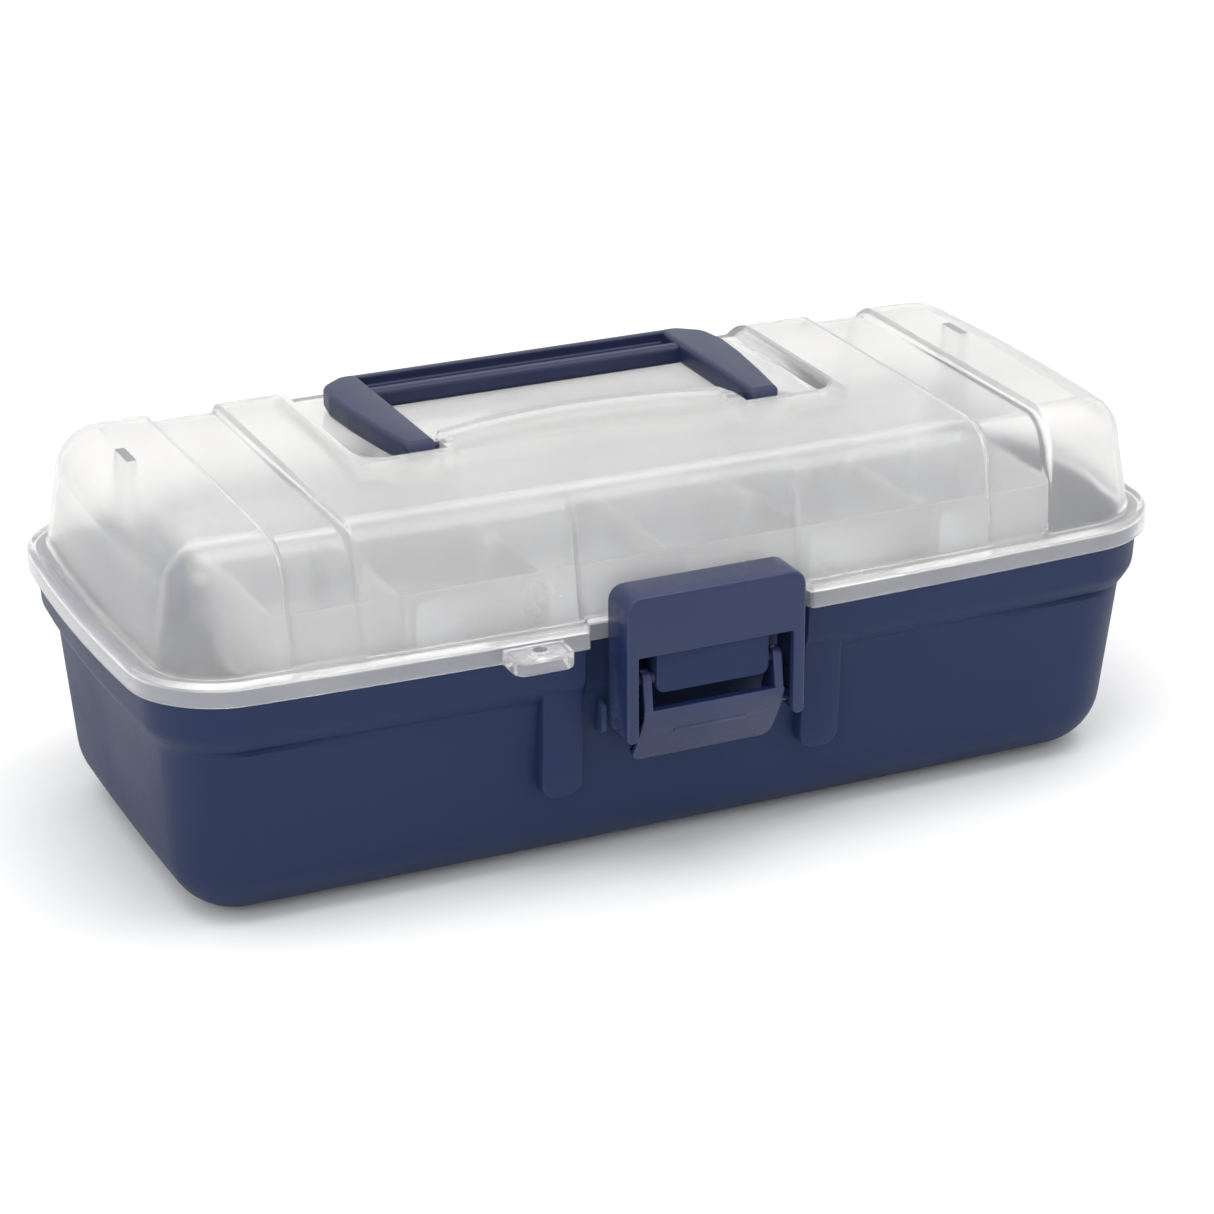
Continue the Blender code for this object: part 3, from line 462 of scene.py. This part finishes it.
def hump_outline(grow, steps=28):
    """The hump's sides and its rear edge, which bulges backward in the middle."""
    half = HUMP_HALF + grow
    shares = [math.cos(math.pi * k / steps) for k in range(steps + 1)]
    edge = [(half * share * 0.955, 8.8 - 7.0 * abs(share) ** 2 + grow) for share in shares]
    return [(half, -3.0 + grow)] + edge + [(-half, -3.0 + grow)]


def recess_level(z, outer, inner):
    """The recess's outline: outer widens its outside edge, inner narrows the hump that it goes round."""
    half, edge, saddle = RECESS_HALF + outer, RECESS_Y - outer, HUMP_HALF - inner
    corner = rounded([(half, 95.0), (half, edge), (0.0, edge)], [0.0, 8.0 + outer, 0.0])[:-1]
    hump = beside_handle([(saddle, edge)] + hump_outline(-inner) + [(-saddle, edge)])
    return [(x, y, z) for x, y in corner + hump + [(-x, y) for x, y in reversed(corner)]]


def hump_body():
    """The raised saddle between the handle's feet, rising to the rear, with a soft top edge."""
    def level(drop, grow):
        half, front = HUMP_HALF + grow, RECESS_Y + 0.4
        top = beside_handle([(half, front)] + hump_outline(grow) + [(-half, front)])
        rise = (HUMP_TOP - ROOF_Z) * 1.04
        return [(x, y, ROOF_Z - 0.05 + rise * smooth(y, RECESS_Y, 9.5) - drop) for x, y in top]

    flat = [(x, y, RECESS_Z - 0.8) for x, y, _ in level(0.0, 0.0)]
    turns = [math.radians(a) for a in range(0, 91, 15)]
    edge = [level(1.3 * (1.0 - math.sin(a)), -1.3 * (1.0 - math.cos(a))) for a in turns]
    return loft("hump", [flat, *edge])


def recess_body():
    """The recess for the handle: a round at its floor, straight sides and a round at its lip."""
    soft = 1.2
    levels = []
    for a in (0, 22, 45, 67, 90):
        turn = math.radians(a)
        pull = soft * (1.0 - math.sin(turn))
        levels.append(recess_level(RECESS_Z + soft * (1.0 - math.cos(turn)), -1.4 - pull, -1.0 - pull))
    for a in (0, 22, 45, 67, 84):
        drop = soft * math.cos(math.radians(a))
        levels.append(recess_level(ROOF_Z - drop, 0.9 - drop, 0.0))
    levels += [recess_level(ROOF_Z + 0.4, 1.6, 0.0), recess_level(130.0, 1.6, 0.0)]
    return loft("recess", levels)


def fine_lid(mat):
    lid = lid_body()
    floor = RECESS_Z - WALL
    pocket = [(-13.2, floor), (62.0, floor), (62.0, 110.9), (59.0, 112.8), (54.0, 114.8), (-13.2, 114.8)]
    join(lid, prism("pocket", pocket, "x", -RECESS_HALF - WALL, RECESS_HALF + WALL))
    for side in (-1, 1):
        x0, x1 = sorted((HANDLE_X + side * 48.0, HANDLE_X + side * 66.6))
        join(lid, box("well", (x0, -13.0, HANDLE_Z - FOOT_R - 0.4 - WALL), (x1, 4.6, 112.0)))
    cut(lid, recess_body())
    join(lid, hump_body())
    hollow = [(45.6, -13.0)] + [(x, y) for x, y in hump_outline(-2.6) if abs(x) < 45.6] + [(-45.6, -13.0)]
    cut(lid, prism("hollow", beside_handle(hollow), "z", 100.0, ROOF_Z - WALL))
    for side in (-1, 1):
        well = sorted((HANDLE_X + side * 50.4, HANDLE_X + side * 64.0))
        hole = sorted((HANDLE_X + side * 44.0, HANDLE_X + side * 52.0))
        cut(lid, rod("well", HANDLE_Y, HANDLE_Z, FOOT_R + 0.4, *well),
            rod("pin_hole", HANDLE_Y, HANDLE_Z, HANDLE_PIN_R + RUN, *hole))
    bead = rounded([(-72.2, 83.6), (-66.0, 82.0), (-66.0, 88.2), (-72.2, 87.2)], [1.0, 0.0, 0.0, 1.0])
    join(lid, prism("bead", bead, "x", -18.0, 18.0))
    tab = [(TAB_LEFT, TAB_BACK), (TAB_LEFT, TAB_FRONT), (TAB_RIGHT, TAB_FRONT), (TAB_RIGHT, TAB_BACK)]
    inside = [(TAB_LEFT + 1.8, TAB_BACK - 2.6), (TAB_LEFT + 1.8, TAB_FRONT + 1.8),
              (TAB_RIGHT - 1.8, TAB_FRONT + 1.8), (TAB_RIGHT - 1.8, TAB_BACK - 2.6)]
    join(lid, bevel(prism("tab", rounded(tab, [0.0, 3.6, 3.6, 0.0]), "z", 73.8, TAB_TOP), 0.7))
    cut(lid, prism("tab_inside", rounded(inside, [0.0, 2.0, 2.0, 0.0]), "z", 70.0, TAB_TOP - 1.8))
    ring_edge = circle(HASP_X, HASP_Y, HASP_RING_R)
    join(lid, bevel(prism("ring", ring_edge, "z", TAB_TOP - 0.6, TAB_TOP + 0.4), 0.3))
    cut(lid, prism("hasp_hole", circle(HASP_X, HASP_Y, HASP_R), "z", 70.0, 82.0))
    y, z = LID_LUG
    lug = [(y + 6.0, 115.2), (y - 6.0, 115.2), (y - 6.0, z)] + circle(y, z, 6.0, 20, 180.0, 180.0)[1:]
    web = [(73.9, 79.9), (75.4, 75.0), (78.8, HINGE_Z), (HINGE_Y + 2.4, HINGE_Z + 1.0),
           (79.5, 79.0), (76.0, 80.6)]
    for side in (-1, 1):
        x = side * HINGE_X
        join(lid, prism("lug", lug, "x", *sorted((side * (ARM_X + 0.2), side * (ARM_X + 3.2)))),
             prism("web", web, "x", x - KNUCKLE_W / 2, x + KNUCKLE_W / 2),
             bevel(rod("knuckle", HINGE_Y, HINGE_Z, KNUCKLE_R, x - KNUCKLE_W / 2, x + KNUCKLE_W / 2), 0.3))
        cut(lid, rod("lug_hole", y, z, RIVET_R + 0.03, *sorted((side * 130.0, side * 145.0))),
            rod("bore", HINGE_Y, HINGE_Z, HINGE_PIN_R + RUN, x - 10.0, x + 10.0))
    return finished(lid, mat, "lid", "lid_shell", "lid_shell")


# Handle and latch.

def fine_handle(mat):
    # Grip with an open channel between a tall rear wall and a lower front bar.
    low, top, floor = HANDLE_LOW + 0.1, HANDLE_HIGH - 0.2, HANDLE_HIGH - 3.6
    wall, bar = GRIP_BACK - 2.8, GRIP_FRONT + 4.2
    profile = [(GRIP_FRONT, low), (GRIP_BACK, low), (GRIP_BACK, top), (wall, top),
               (wall, floor), (bar, floor), (bar, top - 0.8), (GRIP_FRONT, top - 0.8)]
    radii = [1.4, 1.0, 1.0, 0.6, 0.8, 0.8, 1.0, 1.8]
    handle = prism("handle_fine", rounded(profile, radii), "x", HANDLE_X - 53.0, HANDLE_X + 53.0)
    right = [(51.4, -10.3), (60.6, -10.3), (63.4, 8.0), (65.6, 26.0), (66.4, 40.0), (64.6, 50.5),
             (57.2, 56.4), (51.4, 56.4)]
    right = rounded(right, [2.0, 2.0, 14.0, 14.0, 9.0, 6.0, 5.0, 0.0])
    for side in (-1, 1):
        arm = prism("arm", beside_handle([(side * x, y) for x, y in right]), "z", HANDLE_LOW, HANDLE_HIGH)
        join(handle, bevel(arm, 1.7, 5))
    waste = circle(HANDLE_Y, HANDLE_Z, FOOT_R, 16, 125.0, 90.0) + [(-16.0, 106.0), (-16.0, 122.0)]
    cut(handle, prism("waste", waste, "x", -75.0, 75.0))
    for side in (-1, 1):
        ends = sorted((HANDLE_X + side * 46.6, HANDLE_X + side * 53.0))
        join(handle, rod("stub", HANDLE_Y, HANDLE_Z, HANDLE_PIN_R, *ends))
    return finished(handle, mat, "handle", "handle", "handle")


def fine_lever(mat):
    cheek = circle(LEVER_Y, LEVER_Z, 3.0, 16, 0.0, 180.0)[::-1]
    cheek += [(-77.7, 59.0), (-75.4, 53.0), (-75.0, 48.0), (-73.2, 39.0), (-75.0, 37.8),
              (-79.0, 43.0), (-84.0, 52.6), (-84.7, 55.0), (-84.0, 60.0)]
    lever = bevel(prism("latch_lever_fine", cheek, "x", -LEVER_HALF, -CHEEK_IN), 0.6)
    join(lever, bevel(prism("cheek", cheek, "x", CHEEK_IN, LEVER_HALF), 0.6))

    def face(z):
        """The plate's front, upright at the top and curving back to its lower edge."""
        return -84.7 + (9.9 * ((54.0 - z) / 18.2) ** 1.25 if z < 54.0 else 0.0)

    rings = []
    for z in (55.0, 54.0, 52.0, 50.0, 48.0, 46.0, 44.0, 42.0, 40.5, 39.3, 38.4, 37.5, 36.8, 36.2, 35.9, 35.8):
        half = LEVER_HALF - 3.2 * (1.0 - math.sqrt(1.0 - (max(39.3 - z, 0.0) / 3.52) ** 2))
        rings.append([(-half, face(z), z), (half, face(z), z), (half, face(z) + 2.3, z + 0.2),
                      (-half, face(z) + 2.3, z + 0.2)])
    join(lever, bevel(loft("plate", rings), 0.45, 3, 50.0))
    line = rounded([(-82.0, 46.1), (-78.6, 46.1), (-78.6, 47.0), (-81.7, 47.0)], 0.25, 4)
    join(lever, prism("line", line, "x", -11.5, 11.5))
    cut(lever, rod("bore", LEVER_Y, LEVER_Z, LATCH_PIN_R + RUN, -40.0, 40.0))
    for side in (-1, 1):
        join(lever, rod("trunnion", HOOD_Y, HOOD_Z, TRUNNION_R, *sorted((side * 20.0, side * 27.5))))
    return finished(lever, mat, "lever", "latch", "latch_lever")


def fine_hood(mat):
    outside = [(-HOOD_HALF, HOOD_LOW), (-WINDOW_HALF, HOOD_LOW), (-WINDOW_HALF, WINDOW_TOP),
               (WINDOW_HALF, WINDOW_TOP), (WINDOW_HALF, HOOD_LOW), (HOOD_HALF, HOOD_LOW),
               (HOOD_HALF, HOOD_TOP), (-HOOD_HALF, HOOD_TOP)]
    outside = rounded(outside, [1.8, 1.8, 0.0, 0.0, 1.8, 1.8, 4.6, 4.6])
    hood = bevel(prism("latch_hood_fine", outside, "y", HOOD_FRONT, HOOD_BACK), 0.9, 4)
    ceiling = HOOD_TOP - 2.2
    inside = [(-HOOD_INSIDE, 40.0), (HOOD_INSIDE, 40.0), (HOOD_INSIDE, ceiling), (-HOOD_INSIDE, ceiling)]
    inside = rounded(inside, [0.0, 0.0, 2.8, 2.8])
    cut(hood, prism("inside", inside, "y", HOOD_FRONT + 2.3, HOOD_BACK + 5.0))
    cut(hood, rod("bore", HOOD_Y, HOOD_Z, TRUNNION_R + RUN, -40.0, 40.0))
    return finished(hood, mat, "hood", "latch", "latch_hood")


# Materials.

class Nodes:
    """A material's node tree, written from its output back."""

    def __init__(self, name):
        self.material = bpy.data.materials.new(name)
        self.material.use_nodes = True
        self.tree = self.material.node_tree
        self.tree.nodes.clear()
        self.output = self.add("ShaderNodeOutputMaterial")
        self.place = self.add("ShaderNodeTexCoord").outputs["Object"]

    def add(self, kind, settings=(), inputs=()):
        node = self.tree.nodes.new(kind)
        for key, value in dict(settings).items():
            setattr(node, key, value)
        for key, value in dict(inputs).items():
            socket = node.inputs[key]
            if isinstance(value, bpy.types.NodeSocket):
                self.tree.links.new(value, socket)
            else:
                socket.default_value = value
        return node

    def noise(self, scale, detail=3.0, stretch=None):
        place = self.place
        if stretch:
            place = self.add("ShaderNodeMapping", {}, {"Vector": place, "Scale": stretch}).outputs[0]
        noise = self.add("ShaderNodeTexNoise", {}, {"Vector": place, "Scale": scale, "Detail": detail})
        return noise.outputs["Fac"]

    def combine(self, operation, a, b):
        return self.add("ShaderNodeMath", {"operation": operation}, {0: a, 1: b}).outputs[0]

    def principled(self, **inputs):
        named = {key.replace("_", " "): value for key, value in inputs.items()}
        return self.add("ShaderNodeBsdfPrincipled", {}, named).outputs[0]

    def span(self, value, low, high, start=0.3, stop=0.7):
        """Carries start to stop onto low to high, and holds the ends."""
        return self.add("ShaderNodeMapRange", {}, {"Value": value, "From Min": start, "From Max": stop,
                                                   "To Min": low, "To Max": high}).outputs[0]

    def mix(self, factor, a, b):
        node = self.add("ShaderNodeMix", {"data_type": "RGBA"}, {0: factor})
        for index, value in ((6, a), (7, b)):
            if isinstance(value, bpy.types.NodeSocket):
                self.tree.links.new(value, node.inputs[index])
            else:
                node.inputs[index].default_value = (*value, 1.0)
        return node.outputs[2]

    def bump(self, height, strength, distance, normal=None):
        inputs = {"Height": height, "Strength": strength, "Distance": distance}
        if normal:
            inputs["Normal"] = normal
        return self.add("ShaderNodeBump", {}, inputs).outputs[0]

    def edge(self, start=0.52, stop=0.6):
        """1 on worn outer edges, from the geometry's pointiness."""
        return self.span(self.add("ShaderNodeNewGeometry").outputs["Pointiness"], 0.0, 1.0, start, stop)

    def finish(self, shader):
        self.tree.links.new(shader, self.output.inputs[0])
        return self.material


def moulded(name, colour, worn, roughness, grain=0.12, specular=0.5):
    """Opaque moulded plastic: faint flow mottling, fine grain, lighter rubbed edges and hairline scuffs."""
    n = Nodes(name)
    flow = n.span(n.noise(9.0, 4.0), 0.0, 1.0)
    tone = n.mix(flow, [c * 0.93 for c in colour], [c * 1.07 for c in colour])
    rub = n.combine("MULTIPLY", n.edge(), n.span(n.noise(60.0), 0.15, 0.8))
    tone = n.mix(rub, tone, worn)
    scuff = n.span(n.noise(40.0, 6.0, (1.0, 9.0, 6.0)), 0.0, 1.0, 0.66, 0.74)
    satin = n.span(n.noise(25.0), roughness - 0.04, roughness + 0.05)
    rough = n.combine("ADD", satin, n.span(scuff, 0.0, 0.03, 0.0, 1.0))
    normal = n.bump(n.noise(1400.0, 2.0), grain, 0.0001)
    normal = n.bump(n.noise(18.0, 2.0), 0.08, 0.0008, normal)
    return n.finish(n.principled(Base_Color=tone, Roughness=rough, Normal=normal, IOR=1.5,
                                 Specular_IOR_Level=specular))


def frosted(name, tint, clear, roughness):
    """Translucent polypropylene: milky, hazing what lies deep behind it, and passing most lamp light."""
    n = Nodes(name)
    flow = n.span(n.noise(14.0, 4.0), 0.0, 1.0)
    tone = n.mix(flow, [c * 0.98 for c in tint], tint)
    rough = n.span(n.noise(30.0, 4.0), roughness - 0.02, roughness + 0.03)
    normal = n.bump(n.noise(900.0, 2.0), 0.04, 0.0001)
    normal = n.bump(n.noise(26.0, 2.0), 0.08, 0.0008, normal)
    through = n.span(flow, clear + 0.02, clear - 0.02, 0.0, 1.0)
    solid = n.principled(Base_Color=tone, Roughness=rough, Normal=normal, IOR=1.35,
                         Transmission_Weight=through)
    lamps = n.add("ShaderNodeBsdfTransparent", {}, {"Color": (0.86, 0.86, 0.86, 1.0)}).outputs[0]
    ray = n.add("ShaderNodeLightPath").outputs["Is Shadow Ray"]
    return n.finish(n.add("ShaderNodeMixShader", {}, {0: ray, 1: solid, 2: lamps}).outputs[0])


def steel(name):
    """Drawn steel, brushed along the pin."""
    n = Nodes(name)
    brushed = n.noise(300.0, 2.0, (0.05, 1.0, 1.0))
    tone = n.mix(n.span(brushed, 0.0, 1.0), (0.42, 0.42, 0.44), (0.6, 0.6, 0.62))
    rough = n.span(brushed, 0.22, 0.4)
    normal = n.bump(brushed, 0.1, 0.0001)
    return n.finish(n.principled(Base_Color=tone, Roughness=rough, Metallic=1.0, Normal=normal))


def dress(mat, *names):
    """Gives CAD nodes their material, with edges that stay crisp and rounds that shade smooth."""
    for name in names:
        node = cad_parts[name]
        node.data.materials.clear()
        node.data.materials.append(mat)
        weld = node.modifiers.new("weld", "WELD")
        weld.merge_threshold = 0.00001
        node.data.shade_smooth()
        node.data.set_sharp_from_angle(angle=math.radians(30.0))


# Floor, light and camera.

def add_floor():
    half, z = 4000, -0.3
    floor = make("floor", [(-half, -half, z), (half, -half, z), (half, half, z), (-half, half, z)],
                 [(0, 1, 2, 3)])
    n = Nodes("floor_white")
    grey = n.span(n.noise(2.0), 0.86, 0.9)
    floor.data.materials.append(n.finish(n.add("ShaderNodeBsdfDiffuse", {}, {"Color": grey}).outputs[0]))


def add_light():
    """An even white surround and soft boxes that face the box."""
    world = bpy.data.worlds.new("studio")
    bpy.context.scene.world = world
    world.use_nodes = True
    background = world.node_tree.nodes["Background"]
    background.inputs["Color"].default_value = (1.0, 1.0, 1.0, 1.0)
    background.inputs["Strength"].default_value = WORLD_LIGHT
    for name, place, size, power in SOFTBOXES:
        lamp = bpy.data.lights.new(name, "AREA")
        lamp.shape = "RECTANGLE"
        lamp.size, lamp.size_y = size
        lamp.energy = power
        obj = bpy.data.objects.new(name, lamp)
        obj.location = place
        obj.rotation_mode = "QUATERNION"
        obj.rotation_quaternion = (Vector((0.0, 0.0, 0.06)) - Vector(place)).to_track_quat("-Z", "Y")
        COLLECTION.objects.link(obj)


def add_camera():
    yaw, pitch, roll = (math.radians(a) for a in (CAMERA_YAW, CAMERA_PITCH, CAMERA_ROLL))
    forward = Vector((math.sin(yaw) * math.cos(pitch), math.cos(yaw) * math.cos(pitch), -math.sin(pitch)))
    level = Vector((math.cos(yaw), -math.sin(yaw), 0.0))
    over = level.cross(forward)
    right = math.cos(roll) * level + math.sin(roll) * over
    up = -math.sin(roll) * level + math.cos(roll) * over
    camera = bpy.data.objects.new("camera", bpy.data.cameras.new("camera"))
    camera.data.lens = CAMERA_LENS
    camera.data.sensor_width = CAMERA_SENSOR
    turn = Matrix((right, up, -forward)).transposed().to_4x4()
    camera.matrix_world = Matrix.Translation(CAMERA_PLACE) @ turn
    COLLECTION.objects.link(camera)
    bpy.context.scene.camera = camera


navy = moulded("navy_plastic", (0.0112, 0.0225, 0.069), (0.05, 0.07, 0.14), 0.5, specular=0.2)
handle_navy = moulded("handle_plastic", (0.016, 0.0225, 0.064), (0.06, 0.07, 0.13), 0.4, specular=0.34)
latch_navy = moulded("latch_plastic", (0.0115, 0.0215, 0.072), (0.08, 0.095, 0.18), 0.27, 0.05, specular=0.36)
clear_lid = frosted("frosted_plastic", (0.985, 0.98, 0.975), 0.87, 0.19)
tray_pale = frosted("tray_plastic", (0.96, 0.97, 0.985), 0.72, 0.25)

fine_base(navy)
fine_lid(clear_lid)
fine_handle(handle_navy)
fine_lever(latch_navy)
fine_hood(latch_navy)
dress(tray_pale, "tray", "tray_divider_1", "tray_divider_2", "tray_divider_3")
dress(latch_navy, "latch_pin")
dress(steel("pin_steel"), "hinge_pin_left", "hinge_pin_right")
for word in ("left", "right"):
    for kind in ("bracket", "arm", "rivet_base", "rivet_tray", "rivet_lid"):
        dress(navy, kind + "_" + word)

add_floor()
add_light()
add_camera()
bpy.context.scene.view_settings.view_transform = "Standard"
